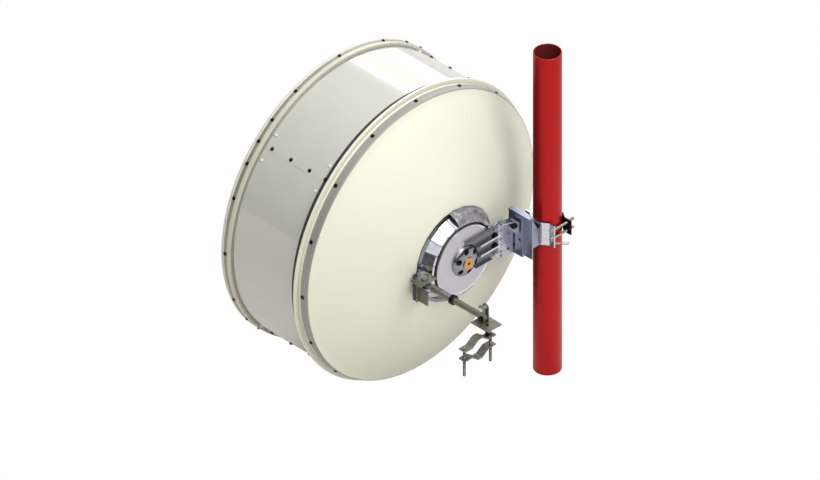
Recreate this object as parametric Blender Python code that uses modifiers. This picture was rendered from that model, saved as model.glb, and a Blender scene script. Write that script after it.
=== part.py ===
"""Shrouded microwave dish antenna on a mast pipe, with its tilt bracket, side strut and clamps.

Frame: the origin is the centre of the mast pipe's foot, +Z runs up the mast, the dish looks along -Y
and stands beside the mast on its +X side. Metres throughout.
"""
import bmesh
import bpy
from math import cos, pi, radians, sin
from mathutils import Matrix, Vector

GAP = 0.0003                  # air left between two solids that touch on the real thing

# Mast pipe
PIPE_R = 0.05715              # 4 inch pipe, 114.3 mm outside
PIPE_WALL = 0.0045
PIPE_LENGTH = 1.51
FOOT_PLATE = 0.008

# Dish axis, parallel to Y, and the planes across it
AXIS_X = 0.397
AXIS_Z = 0.681
FEED_FACE = -0.036            # face of the waveguide flange
HUB_FACE = -0.060             # face of the hub plate
DISH_FLAT = -0.1100           # flat middle of the reflector
DISH_VERTEX = -0.1005         # where the paraboloid's back would end
DISH_CORNER = -0.3035         # where the back turns into the rim band
DISH_FLANGE = -0.3533         # back face of the rear ring
FLANGE_BACK = -0.718          # back edge of the front flange's sleeve
FLANGE_STEP = -0.7265         # where the sleeve steps up to the flange
HOOP_BACK = -0.744
LIP_BACK = -0.760             # back edge of the radome's rim
FRONT_FACE = -0.774           # front edge of the radome's rim
RADOME_CROWN = 0.030

# Drum radii
RIM_R = 0.626                 # rim band of the reflector
REAR_RING_R = 0.6457
REAR_RING_T = 0.010
SHROUD_R = 0.620
SHROUD_T = 0.0025
FRONT_R = 0.6325
DRUM_INNER_R = 0.6075
ROUND_STEPS = 64

# Hub
HUB_PLATE_R = 0.152
HUB_PLATE_T = 0.008
HUB_NECK_R = 0.130
HUB_BORE_R = 0.040
HUB_RING_R = 0.207
HUB_FACETS = 24
BOSS_R = 0.068
BOSS_FLAT_R = 0.030
FEED_R = 0.027
FEED_DROP = 0.006             # the waveguide flange sits a little below the dish axis
FEED_PORT_R = 0.006
RECESSES = 6                  # sunk screws round the boss
RECESS_R = 0.0125
RECESS_CIRCLE = 0.050
RECESS_START = 21             # degrees from +X towards +Z

# Arm of three channels, from the hub towards the mast
ARM_Z = 0.6945
CHANNEL_H = 0.0463
CHANNEL_PITCH = 0.0470
CHANNEL_D = 0.016
CHANNEL_T = 0.003
ARM_END_X = 0.215
ARM_TRIM_X = 0.258            # the channels' flanges are cut back from here to the end
ARM_BOLT_X = 0.236
ARM_BOLTS = {"upper": 0.7180, "lower": 0.6710}     # heights, on the joints between the channels
ARM_BOLT_R = 0.0075
ARM_BOLT_HEAD_R = 0.0155

# Arm end bracket
LEG_T = 0.008
LEG_OUTLINE = [(0.243, 0.628), (0.243, 0.764), (0.215, 0.770), (0.1455, 0.750), (0.130, 0.750),
               (0.130, 0.588), (0.199, 0.588), (0.215, 0.600)]
LIP_FRONT_Y = -0.038
LIP_T = 0.006
CHEEK_T = 0.007
CHEEK_Z = (0.690, 0.749)

# Tilt bracket between the arm and the mast
TILT_FACE_X = 0.125
TILT_STEP_X = 0.110           # its rear flange stands back to here
TILT_Z = (0.581, 0.781)
TILT_T = 0.006
TILT_FRONT_Y = -0.090
TILT_STEP_Y = -0.0142
TILT_REAR_Y = 0.0245
SEAT_X = 0.0638               # pipe side of the seat that carries the inner saddle
SEAT_HALF_Y = 0.030
SEAT_Z = (0.636, 0.730)
PIVOT_Y = -0.047
PIVOT_Z = 0.7215
PIVOT_R = 0.008

# Mast clamp
INNER_FLANGE_X = 0.037
INNER_Z = 0.683
INNER_H = 0.105
OUTER_FLANGE_X = -0.040
OUTER_Z = 0.6885
OUTER_H = 0.066
CLAMP_T = 0.006
CLAMP_FLAT = 0.022            # half the flat across the pipe
CLAMP_BOLT_Y = 0.0645
CLAMP_BOLT_Z = {"lower": 0.6665, "upper": 0.7060}
CLAMP_BOLT_R = 0.0055
CLAMP_BOLT_TIP = -0.080
SCREW_R = 0.0045
SCREW_Y = 0.0687
SCREW_Z = 0.644

# Side strut, parallel to Y at rest
STRUT_X = 0.6248
STRUT_Z = 0.6875
SWIVEL_Y = -0.055
SWIVEL_BORE_R = 0.0083
LUG_FACE = -0.0880            # face of the hub ring's lug, which carries the strut bracket
PLATE_Z = (0.698, 0.704)
EAR_Z = (0.672, 0.678)
TUBE_START = -0.010
TUBE_END = 0.1082
TUBE_R = 0.015
ROD_R = 0.013
ROD_START = 0.045
COLLAR_R = 0.0205

# Strut end: eye, clevis and plate
EYE_Y = 0.2725
EYE_R = 0.0145
EYE_HALF = 0.008
EYE_BOLT_R = 0.0075
CLEVIS_TOP_Z = 0.7325
CLEVIS_R = 0.0165
CLEVIS_T = 0.005
END_PLATE_X = (0.5863, 0.6638)
END_PLATE_Y = (0.240, 0.334)
END_PLATE_Z = (0.6625, 0.6685)

# Strut clamp of two saddles for a tower's pipe that lies along Y
V_X = 0.6868
V_Y = 0.2995
V_DEPTH = 0.035
V_FLAT = 0.010
V_BEND = 0.0435
V_RISE = 0.0245
V_REACH = 0.0855
V_T = 0.006
V_UP_Z = 0.612                # pipe side of the upper saddle's flanges
V_LOW_Z = 0.573               # pipe side of the lower saddle's flanges
V_BOLT = 0.072
V_BOLT_TIP = 0.489
POST_X = V_X - 0.0535


def clear_scene():
    for obj in list(bpy.data.objects):
        bpy.data.objects.remove(obj, do_unlink=True)


def new_collection(name):
    group = bpy.data.collections.new(name)
    bpy.context.scene.collection.children.link(group)
    return group


clear_scene()
PARTS = new_collection("microwave_dish_antenna")
CUTTERS = new_collection("cutters")


def material(name, colour, roughness, metallic):
    mat = bpy.data.materials.new(name)
    mat.use_nodes = True
    shader = mat.node_tree.nodes["Principled BSDF"]
    shader.inputs["Base Color"].default_value = (*colour, 1.0)
    shader.inputs["Roughness"].default_value = roughness
    shader.inputs["Metallic"].default_value = metallic
    mat.diffuse_color = (*colour, 1.0)
    return mat


RED_PAINT = material("red_mast_paint", (0.45, 0.02, 0.02), 0.45, 0.0)
CREAM_PAINT = material("cream_dish_paint", (0.86, 0.83, 0.72), 0.35, 0.0)
SHROUD_GREY = material("pale_shroud_paint", (0.62, 0.62, 0.58), 0.3, 0.0)
RADOME_SKIN = material("radome_skin", (0.80, 0.80, 0.76), 0.5, 0.0)
HOOP_GREY = material("hoop_aluminium", (0.55, 0.54, 0.50), 0.4, 0.6)
BRIGHT_ZINC = material("bright_zinc", (0.75, 0.76, 0.80), 0.25, 0.9)
PALE_ZINC = material("pale_hub_plate", (0.60, 0.60, 0.64), 0.4, 0.7)
GALVANISED = material("galvanised_steel", (0.35, 0.35, 0.33), 0.5, 0.8)
BRACKET_STEEL = material("blue_grey_steel", (0.36, 0.38, 0.43), 0.4, 0.8)
DARK_BOLTS = material("dark_bolt_steel", (0.05, 0.05, 0.05), 0.5, 0.7)
PALE_BOLTS = material("pale_bolt_steel", (0.65, 0.65, 0.62), 0.35, 0.9)
BRASS = material("brass_flange", (0.72, 0.52, 0.28), 0.35, 0.9)


def place(obj, mat, matrix=None):
    """Put a finished object in the parts collection with its material."""
    obj.data.materials.clear()
    obj.data.materials.append(mat)
    if matrix is not None:
        obj.matrix_world = matrix
    PARTS.objects.link(obj)
    return obj


def along_x(x, y, z):
    """A frame whose +Z is the world's +X."""
    return Matrix.Translation((x, y, z)) @ Matrix.Rotation(radians(90), 4, "Y")


def along_y(x, y, z):
    """A frame whose +Z is the world's +Y, so that a turned shape lies on the dish axis."""
    return Matrix.Translation((x, y, z)) @ Matrix.Rotation(radians(-90), 4, "X")


def upright(x, y, z):
    """A frame for an outline drawn as (X, Z), with its depth along Y."""
    return Matrix.Translation((x, y, z)) @ Matrix.Rotation(radians(90), 4, "X")


DISH_FRAME = along_y(AXIS_X, 0.0, AXIS_Z)


def add_screw(obj, steps, angle, merge):
    screw = obj.modifiers.new("turn", "SCREW")
    screw.axis = "Z"
    screw.angle = angle
    screw.steps = steps
    screw.render_steps = steps
    screw.use_smooth_shade = True
    screw.use_normal_calculate = False
    screw.use_merge_vertices = merge
    screw.merge_threshold = 0.00005
    return screw


def turned(name, profile, mat, matrix, steps=ROUND_STEPS, smooth=True):
    """A closed (radius, height) outline turned all the way round the frame's Z axis."""
    mesh = bpy.data.meshes.new(name)
    verts = [(r, 0.0, h) for r, h in profile]
    on_axis = profile[0][0] == 0.0 and profile[-1][0] == 0.0
    count = len(verts)
    edges = [(i, i + 1) for i in range(count - 1)]
    if not on_axis:
        edges.append((count - 1, 0))
    mesh.from_pydata(verts, edges, [])
    obj = bpy.data.objects.new(name, mesh)
    add_screw(obj, steps, 2 * pi, True).use_smooth_shade = smooth
    return place(obj, mat, matrix)


def ring_profile(outer, inner, high, low):
    """Outline of a plain ring or tube between two heights."""
    return [(outer, high), (outer, low), (inner, low), (inner, high)]


def bar_profile(radius, high, low):
    """Outline of a solid disc or bar between two heights."""
    return [(0.0, high), (radius, high), (radius, low), (0.0, low)]


def shell_panel(name, radius, thickness, back, front, start, sweep, steps, mat):
    """A curved sheet: a straight line turned through part of a circle, then thickened inwards."""
    mesh = bpy.data.meshes.new(name)
    mesh.from_pydata([(radius, 0.0, back), (radius, 0.0, front)], [(0, 1)], [])
    obj = bpy.data.objects.new(name, mesh)
    add_screw(obj, steps, sweep, False)
    solid = obj.modifiers.new("sheet", "SOLIDIFY")
    solid.thickness = thickness
    solid.offset = -1.0
    return place(obj, mat, DISH_FRAME @ Matrix.Rotation(start, 4, "Z"))


def outline_mesh(name, loop, depth):
    """A closed outline in the XY plane, filled and given a depth along Z, half to either side."""
    curve = bpy.data.curves.new(name, "CURVE")
    curve.dimensions = "2D"
    curve.fill_mode = "BOTH"
    curve.extrude = depth / 2
    spline = curve.splines.new("POLY")
    spline.points.add(len(loop) - 1)
    for point, (x, y) in zip(spline.points, loop):
        point.co = (x, y, 0.0, 1.0)
    spline.use_cyclic_u = True
    source = bpy.data.objects.new(name + "_outline", curve)
    bpy.context.scene.collection.objects.link(source)
    bpy.context.view_layer.update()
    mesh = bpy.data.meshes.new_from_object(source.evaluated_get(bpy.context.evaluated_depsgraph_get()))
    bpy.data.objects.remove(source, do_unlink=True)
    mesh.name = name
    work = bmesh.new()
    work.from_mesh(mesh)
    bmesh.ops.remove_doubles(work, verts=work.verts, dist=0.00001)
    bmesh.ops.recalc_face_normals(work, faces=work.faces)
    work.to_mesh(mesh)
    work.free()
    return mesh


def flat_shape(name, loop, depth, mat, matrix):
    return place(bpy.data.objects.new(name, outline_mesh(name, loop, depth)), mat, matrix)


def box_mesh(name, low, high):
    mesh = bpy.data.meshes.new(name)
    work = bmesh.new()
    size = [b - a for a, b in zip(low, high)]
    middle = [(a + b) / 2 for a, b in zip(low, high)]
    bmesh.ops.create_cube(work, size=1.0, matrix=Matrix.Translation(middle) @ Matrix.Diagonal((*size, 1.0)))
    work.to_mesh(mesh)
    work.free()
    return mesh


def box(name, low, high, mat):
    return place(bpy.data.objects.new(name, box_mesh(name, low, high)), mat)


def cylinder_mesh(name, radius, length, sides):
    mesh = bpy.data.meshes.new(name)
    work = bmesh.new()
    bmesh.ops.create_cone(work, cap_ends=True, segments=sides, radius1=radius, radius2=radius, depth=length)
    work.to_mesh(mesh)
    work.free()
    return mesh


def add_boolean(obj, tool, operation):
    tool.hide_render = True
    tool.display_type = "WIRE"
    CUTTERS.objects.link(tool)
    mod = obj.modifiers.new(tool.name, "BOOLEAN")
    mod.operation = operation
    mod.solver = "EXACT"
    mod.object = tool


def cut_round(obj, name, radius, length, matrix, sides=12):
    tool = bpy.data.objects.new(name, cylinder_mesh(name, radius, length, sides))
    tool.matrix_world = matrix
    add_boolean(obj, tool, "DIFFERENCE")


def cut_box(obj, name, low, high):
    add_boolean(obj, bpy.data.objects.new(name, box_mesh(name, low, high)), "DIFFERENCE")


def join_box(obj, name, low, high):
    add_boolean(obj, bpy.data.objects.new(name, box_mesh(name, low, high)), "UNION")


def join_shape(obj, name, loop, depth, matrix):
    tool = bpy.data.objects.new(name, outline_mesh(name, loop, depth))
    tool.matrix_world = matrix
    add_boolean(obj, tool, "UNION")


def strip_outline(path, thickness):
    """The outline of a bent strip: its path in the plane, and the same path moved over by its thickness."""
    moved = []
    for i, point in enumerate(path):
        before = Vector(path[max(i - 1, 0)])
        after = Vector(path[min(i + 1, len(path) - 1)])
        here = Vector(point)
        turns = [v.normalized() for v in (here - before, after - here) if v.length > 0]
        normals = [Vector((-v.y, v.x)) for v in turns]
        mean = sum(normals, Vector((0.0, 0.0))) / len(normals)
        moved.append(tuple(here + mean * (thickness / mean.length_squared)))
    return list(path) + moved[::-1]


def bolt_profile(shank_r, head_r, head_h, length, nut_at, nut_h):
    """Outline of a bolt turned about Z: its head stands on z = 0 and its nut bears at z = -nut_at."""
    return [(0.0, head_h), (head_r, head_h), (head_r, 0.0), (shank_r, 0.0), (shank_r, -nut_at),
            (head_r, -nut_at), (head_r, -nut_at - nut_h), (shank_r, -nut_at - nut_h),
            (shank_r, -length), (0.0, -length)]


def screw_profile(shank_r, head_r, head_h, length):
    """Outline of a screw without a nut, turned about Z, its head standing on z = 0."""
    return [(0.0, head_h), (head_r, head_h), (head_r, 0.0), (shank_r, 0.0), (shank_r, -length),
            (0.0, -length)]


def dish_back(radius):
    """Y of the reflector's back surface at a distance from the dish axis."""
    fall = (DISH_VERTEX - DISH_CORNER) / SHROUD_R ** 2
    return min(DISH_FLAT, DISH_VERTEX - fall * radius ** 2)


def make_mast():
    inner = PIPE_R - PIPE_WALL
    stand = Matrix.Identity(4)
    turned("mast_pipe", ring_profile(PIPE_R, inner, PIPE_LENGTH, 0.0), RED_PAINT, stand, steps=48)
    turned("mast_foot_plate", bar_profile(inner - GAP, FOOT_PLATE, 0.0), RED_PAINT, stand, steps=48)


def make_reflector():
    """The spun dish: a flat middle, a paraboloid, a rounded corner and a straight rim band."""
    thickness = 0.004
    corner = 0.006
    rings = 7
    edge_r = RIM_R - corner
    first_r = HUB_NECK_R + 0.005
    radii = [first_r + (edge_r - first_r) * i / rings for i in range(rings + 1)]
    back = [(HUB_BORE_R, DISH_FLAT)] + [(r, dish_back(r)) for r in radii]
    back += [(edge_r + corner * sin(a), dish_back(edge_r) - corner * (1 - cos(a)))
             for a in (radians(50), radians(90))]
    back.append((RIM_R, DISH_FLANGE + GAP))
    front = [(RIM_R - thickness, DISH_FLANGE + GAP), (RIM_R - thickness, dish_back(edge_r) - corner)]
    front += [(r, dish_back(r) - thickness * 1.1) for r in radii[-2::-1]]
    front.append((HUB_BORE_R, DISH_FLAT - thickness))
    turned("reflector", back + front, CREAM_PAINT, DISH_FRAME)


def make_drum():
    """Rear ring, four shroud panels, front flange and the hoop that holds the radome."""
    shroud_back = DISH_FLANGE - REAR_RING_T - GAP
    sleeve_r = SHROUD_R + 0.004
    hoop_r = FRONT_R - 0.004
    turned("rear_ring", ring_profile(REAR_RING_R, DRUM_INNER_R, DISH_FLANGE, DISH_FLANGE - REAR_RING_T),
           CREAM_PAINT, DISH_FRAME)
    turned("front_flange", [(sleeve_r, FLANGE_BACK), (sleeve_r, FLANGE_STEP), (FRONT_R, FLANGE_STEP),
                            (FRONT_R, HOOP_BACK + GAP), (DRUM_INNER_R, HOOP_BACK + GAP),
                            (DRUM_INNER_R, FLANGE_BACK)], SHROUD_GREY, DISH_FRAME)
    turned("radome_hoop", ring_profile(hoop_r, DRUM_INNER_R, HOOP_BACK, LIP_BACK + GAP), HOOP_GREY,
           DISH_FRAME)
    quarter = pi / 2
    slit = GAP / SHROUD_R
    for i, side in enumerate(("outer", "bottom", "mast", "top")):
        shell_panel("shroud_panel_" + side, SHROUD_R, SHROUD_T, shroud_back, FLANGE_BACK + GAP,
                    (i - 0.5) * quarter + slit / 2, quarter - slit, ROUND_STEPS // 4, SHROUD_GREY)


def make_radome():
    """The front cover: a slightly crowned skin inside a rim with rounded edges."""
    thickness = 0.004
    edge_r = 0.600
    rounding = 0.003
    rings = 3
    face = [(edge_r * i / rings, FRONT_FACE - RADOME_CROWN * (1 - (i / rings) ** 2))
            for i in range(rings + 1)]
    inside = [(r, y + thickness) for r, y in face]
    rim = [(edge_r, LIP_BACK), (FRONT_R - rounding, LIP_BACK), (FRONT_R, LIP_BACK - rounding),
           (FRONT_R, FRONT_FACE + rounding), (FRONT_R - rounding, FRONT_FACE)]
    turned("radome", inside + rim + face[::-1], RADOME_SKIN, DISH_FRAME)


def make_hub_ring():
    """The faceted ring round the hub, standing on the dish, with the lug that carries the side strut."""
    facet = cos(pi / HUB_FACETS)
    inner_r, top_r, cone_foot_r, foot_r = 0.160, 0.168, 0.193, 0.186
    top, cone_foot, rim = -0.0705, -0.1125, -0.1185
    ring_t = 0.008

    def seat(radius):
        return dish_back(radius * facet) + 2 * GAP

    profile = [(inner_r, top), (top_r, top - 0.002), (cone_foot_r, cone_foot), (HUB_RING_R, rim),
               (HUB_RING_R, seat(HUB_RING_R)), (foot_r, seat(foot_r)), (inner_r + 0.003, top - ring_t),
               (inner_r, top - ring_t)]
    ring = turned("hub_ring", profile, BRIGHT_ZINC, DISH_FRAME, steps=HUB_FACETS, smooth=False)
    join_box(ring, "strut_lug", (AXIS_X + 0.172, -0.1150, AXIS_Z - 0.098),
             (AXIS_X + 0.2335, LUG_FACE, AXIS_Z + 0.017))


def make_hub_plate():
    neck_bottom = DISH_FLAT + GAP
    plate_back = HUB_FACE - HUB_PLATE_T
    turned("hub_plate", [(HUB_PLATE_R, HUB_FACE), (HUB_PLATE_R, plate_back), (HUB_NECK_R, plate_back),
                         (HUB_NECK_R, neck_bottom), (HUB_BORE_R, neck_bottom), (HUB_BORE_R, HUB_FACE)],
           PALE_ZINC, DISH_FRAME, steps=48)


def make_feed():
    """The domed boss with its ring of sunk screw holes, and the waveguide flange on it."""
    base = HUB_FACE + GAP
    top = FEED_FACE - 0.004
    edge = 0.004
    recess_floor = base + 0.005
    recess_length = 0.03
    dome_r, dome_h = BOSS_R - BOSS_FLAT_R, top - base
    dome = [(BOSS_FLAT_R + dome_r * sin(a), base + dome_h * cos(a)) for a in map(radians, (0, 22, 45, 67))]
    boss = turned("feed_boss", [(0.0, top)] + dome + [(BOSS_R, base + edge), (BOSS_R, base), (0.0, base)],
                  BRIGHT_ZINC, DISH_FRAME, steps=32)
    port_z = AXIS_Z - FEED_DROP
    cut_round(boss, "boss_port", FEED_PORT_R + 0.002, 0.1, along_y(AXIS_X, base, port_z), sides=24)
    for i in range(RECESSES):
        angle = radians(RECESS_START + i * 360 / RECESSES)
        cut_round(boss, f"recess_{i}", RECESS_R, recess_length,
                  along_y(AXIS_X + RECESS_CIRCLE * cos(angle), recess_floor + recess_length / 2,
                          AXIS_Z + RECESS_CIRCLE * sin(angle)), sides=16)
    turned("feed_flange", ring_profile(FEED_R, FEED_PORT_R, FEED_FACE, top + GAP), BRASS,
           along_y(AXIS_X, 0.0, port_z), steps=24)


def make_arm():
    """Three channels side by side, their flanges cut back at the mast end where the bolts are."""
    web_y = HUB_FACE + GAP
    half = CHANNEL_H / 2
    inner = half - CHANNEL_T
    section = [(-half, 0.0), (half, 0.0), (half, CHANNEL_D), (inner, CHANNEL_D), (inner, CHANNEL_T),
               (-inner, CHANNEL_T), (-inner, CHANNEL_D), (-half, CHANNEL_D)]
    starts = {"upper": AXIS_X, "middle": 0.350, "lower": 0.350}
    for level, (name, start) in enumerate(starts.items()):
        z = ARM_Z + (1 - level) * CHANNEL_PITCH
        channel = flat_shape("arm_channel_" + name, section, start - ARM_END_X, GALVANISED,
                             along_x((start + ARM_END_X) / 2, web_y, z))
        cut_round(channel, "boss_space_" + name, BOSS_R + 3 * GAP, 0.2, DISH_FRAME, sides=32)
        cut_box(channel, "flange_trim_" + name, (ARM_END_X - 0.01, web_y + CHANNEL_T, z - CHANNEL_H),
                (ARM_TRIM_X, web_y + 2 * CHANNEL_D, z + CHANNEL_H))
        for bolt_name, bolt_z in ARM_BOLTS.items():
            if abs(bolt_z - z) < half + ARM_BOLT_R:
                cut_round(channel, f"hole_{name}_{bolt_name}", ARM_BOLT_R + 2 * GAP, 0.06,
                          along_y(ARM_BOLT_X, web_y, bolt_z))
    head_h, grip = 0.009, 0.0105
    for name, z in ARM_BOLTS.items():
        turned("arm_bolt_" + name, screw_profile(ARM_BOLT_R, ARM_BOLT_HEAD_R, head_h, grip), DARK_BOLTS,
               along_y(ARM_BOLT_X, web_y + CHANNEL_T + GAP, z), steps=12)


def make_arm_end_bracket():
    """An upright leg behind the channels' ends with a lip on top, and a cheek that turns on the pivot."""
    leg_back, leg_front = HUB_FACE - GAP - LEG_T, HUB_FACE - GAP
    leg_mid = (leg_back + leg_front) / 2
    hole_depth = 0.03
    overlap = 0.001           # how far the joined pieces reach into the leg
    cheek_x = LEG_OUTLINE[4][0]
    bracket = flat_shape("arm_end_bracket", LEG_OUTLINE, LEG_T, BRACKET_STEEL, upright(0.0, leg_mid, 0.0))
    (hub_x, hub_z), (mast_x, mast_z) = LEG_OUTLINE[2:4]
    lip = strip_outline([(hub_x - 0.002, hub_z), (mast_x, mast_z + overlap / 2)], LIP_T)
    lip_back = leg_back + overlap
    join_shape(bracket, "top_lip", lip, LIP_FRONT_Y - lip_back,
               upright(0.0, (LIP_FRONT_Y + lip_back) / 2, 0.0))
    join_box(bracket, "cheek", (cheek_x - overlap / 5, leg_back + overlap, CHEEK_Z[0]),
             (cheek_x + CHEEK_T, -0.026, CHEEK_Z[1]))
    cut_round(bracket, "pivot_hole", PIVOT_R + 0.0007, 0.05, along_x(cheek_x, PIVOT_Y, PIVOT_Z), sides=16)
    cut_round(bracket, "leg_hole", 0.006, hole_depth, along_y(0.1586, leg_mid, 0.616))
    for name, z in ARM_BOLTS.items():
        cut_round(bracket, "leg_hole_" + name, ARM_BOLT_R + 2 * GAP, hole_depth,
                  along_y(ARM_BOLT_X, leg_mid, z))


def make_tilt_bracket():
    """A bent plate with a lip on top that takes the tilt pivot, two webs, and the seat for the saddle."""
    low_z, high_z = TILT_Z
    face_x, step_x = TILT_FACE_X, TILT_STEP_X
    face_back, step_back = face_x - TILT_T, step_x - TILT_T
    plate = [(face_x, TILT_FRONT_Y), (face_x, TILT_STEP_Y), (step_x, TILT_STEP_Y), (step_x, TILT_REAR_Y),
             (step_back, TILT_REAR_Y), (step_back, TILT_STEP_Y - TILT_T), (face_back, TILT_STEP_Y - TILT_T),
             (face_back, TILT_FRONT_Y)]
    bracket = flat_shape("tilt_bracket", plate, high_z - low_z, BRACKET_STEEL,
                         Matrix.Translation((0.0, 0.0, (low_z + high_z) / 2)))
    join_box(bracket, "bracket_lip", (step_back - 0.003, TILT_FRONT_Y - 0.001, high_z - 0.005),
             (face_x + 0.002, TILT_REAR_Y + 0.001, high_z + 0.001))
    web_x, web_low, web_high = SEAT_X + TILT_T / 2, 0.632, 0.772
    webs = (("front", -0.0195, face_back + TILT_T / 2), ("rear", 0.021, step_back + TILT_T / 2))
    for side, y, reach in webs:
        web = [(reach, web_low), (reach, web_high), (0.083, 0.722), (web_x, 0.705), (web_x, web_low)]
        join_shape(bracket, "web_" + side, web, TILT_T, upright(0.0, y, 0.0))
    join_box(bracket, "saddle_seat", (SEAT_X, -SEAT_HALF_Y, SEAT_Z[0]),
             (SEAT_X + TILT_T, SEAT_HALF_Y, SEAT_Z[1]))
    for i, (y, z) in enumerate(((-0.060, 0.616), (-0.029, 0.659))):
        cut_round(bracket, f"lock_hole_{i}", 0.006, 0.02, along_x(face_x, y, z))
    cut_round(bracket, "pivot_seat", PIVOT_R + GAP, 0.02, along_x(face_x, PIVOT_Y, PIVOT_Z), sides=16)
    head_x = face_x + 0.013
    pin = bolt_profile(PIVOT_R, 0.0115, 0.010, 0.036, head_x - face_back + GAP, 0.008)
    turned("pivot_bolt", pin, DARK_BOLTS, along_x(head_x, PIVOT_Y, PIVOT_Z), steps=16)


def saddle_path(flange_x, slope_y, reach):
    """Pipe side of a trapezoid saddle: a flat across the pipe, two slopes past it and two flanges."""
    half = [(flange_x, -reach), (flange_x, -slope_y), (PIPE_R + GAP, -CLAMP_FLAT)]
    return half + [(x, -y) for x, y in half[::-1]]


def make_mast_clamp():
    inner = flat_shape("inner_saddle", strip_outline(saddle_path(INNER_FLANGE_X, 0.052, 0.080), -CLAMP_T),
                       INNER_H, BRIGHT_ZINC, Matrix.Translation((0.0, 0.0, INNER_Z)))
    outer_path = [(-x, y) for x, y in saddle_path(-OUTER_FLANGE_X, 0.050, 0.088)]
    outer = flat_shape("outer_saddle", strip_outline(outer_path, CLAMP_T), OUTER_H, DARK_BOLTS,
                       Matrix.Translation((0.0, 0.0, OUTER_Z)))
    head_x = INNER_FLANGE_X + CLAMP_T + GAP
    nut_at = head_x - (OUTER_FLANGE_X - CLAMP_T - GAP)
    profile = bolt_profile(CLAMP_BOLT_R, 0.009, 0.006, head_x - CLAMP_BOLT_TIP, nut_at, 0.008)
    for side, y in (("front", -CLAMP_BOLT_Y), ("rear", CLAMP_BOLT_Y)):
        for level, z in CLAMP_BOLT_Z.items():
            for obj in (inner, outer):
                cut_round(obj, f"{obj.name}_hole_{side}_{level}", CLAMP_BOLT_R + 2 * GAP, 0.3,
                          along_x(0.0, y, z))
            turned(f"clamp_bolt_{side}_{level}", profile, PALE_BOLTS, along_x(head_x, y, z), steps=12)


def make_azimuth_screw():
    """A level screw that leans against the inner saddle's rear flange and points outwards."""
    shank, length, head_r = 0.032, 0.060, 0.0062
    start_x = INNER_FLANGE_X - GAP - SCREW_R * cos(pi / 4)
    heading = Matrix.Rotation(radians(135), 4, "Z") @ Matrix.Rotation(radians(90), 4, "Y")
    profile = [(0.0, length), (head_r, length), (head_r, shank), (SCREW_R, shank), (SCREW_R, 0.0),
               (0.0, 0.0)]
    turned("azimuth_screw", profile, PALE_BOLTS, Matrix.Translation((start_x, SCREW_Y, SCREW_Z)) @ heading,
           steps=12)


def make_strut_bracket():
    """Plate with four holes, an ear below it for the swivel bolt, a web on the lug and a leg."""
    seat_y = LUG_FACE + GAP
    front_y = -0.030
    low_z, leg_top = 0.588, 0.650
    plate_half, web_half, ear_half, leg_half = 0.044, 0.015, 0.020, 0.003
    bracket = box("strut_bracket", (STRUT_X - plate_half, seat_y, PLATE_Z[0]),
                  (STRUT_X + plate_half, front_y, PLATE_Z[1]), GALVANISED)
    join_box(bracket, "bracket_web", (STRUT_X - web_half, seat_y, low_z),
             (STRUT_X + web_half, seat_y + 0.006, PLATE_Z[0] + 0.003))
    join_box(bracket, "low_ear", (STRUT_X - ear_half, seat_y, EAR_Z[0]),
             (STRUT_X + ear_half, front_y, EAR_Z[1]))
    join_box(bracket, "bracket_leg", (STRUT_X - leg_half, seat_y, low_z),
             (STRUT_X + leg_half, -0.035, leg_top))
    for i, (dx, y) in enumerate(((-0.030, -0.072), (0.030, -0.072), (-0.030, -0.042), (0.030, -0.042))):
        cut_round(bracket, f"plate_hole_{i}", 0.006, 0.02, Matrix.Translation((STRUT_X + dx, y, PLATE_Z[1])))
    cut_round(bracket, "swivel_hole", SWIVEL_BORE_R, 0.06, Matrix.Translation((STRUT_X, SWIVEL_Y, STRUT_Z)),
              sides=16)
    head_z = PLATE_Z[1] + GAP
    turned("swivel_bolt", bolt_profile(0.0075, 0.0125, 0.008, 0.046, head_z - EAR_Z[0] + GAP, 0.008),
           DARK_BOLTS, Matrix.Translation((STRUT_X, SWIVEL_Y, head_z)), steps=16)


def make_strut():
    """Tube with a flat tongue on the swivel bolt, its collar, and the rod that slides in it, necked
    down to go between the clevis ears."""
    frame = along_y(STRUT_X, 0.0, STRUT_Z)
    bore_r = ROD_R + 0.0008
    bore_end = TUBE_START + 0.010
    outline = [(0.0, bore_end), (bore_r, bore_end), (bore_r, TUBE_END), (TUBE_R, TUBE_END),
               (TUBE_R, TUBE_START), (0.0, TUBE_START)]
    tube = turned("strut_tube", outline, GALVANISED, frame, steps=24)
    tongue = Vector((0.013, 0.016, 0.004))
    join_box(tube, "tube_tongue", (STRUT_X - tongue.x, SWIVEL_Y - tongue.y, STRUT_Z - tongue.z),
             (STRUT_X + tongue.x, TUBE_START + tongue.z, STRUT_Z + tongue.z))
    cut_round(tube, "tongue_hole", SWIVEL_BORE_R, 0.03, Matrix.Translation((STRUT_X, SWIVEL_Y, STRUT_Z)),
              sides=16)
    turned("strut_collar", ring_profile(COLLAR_R, TUBE_R + GAP, TUBE_END + 0.004, TUBE_END - 0.012),
           DARK_BOLTS, frame, steps=24)
    neck_end, shoulder = EYE_Y - EYE_R - GAP, EYE_Y - CLEVIS_R - 2 * GAP
    neck_r = EYE_HALF - 2 * GAP
    turned("strut_rod", [(0.0, neck_end), (neck_r, neck_end), (neck_r, shoulder), (ROD_R, shoulder),
                         (ROD_R, ROD_START), (0.0, ROD_START)], GALVANISED, frame, steps=24)


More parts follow.
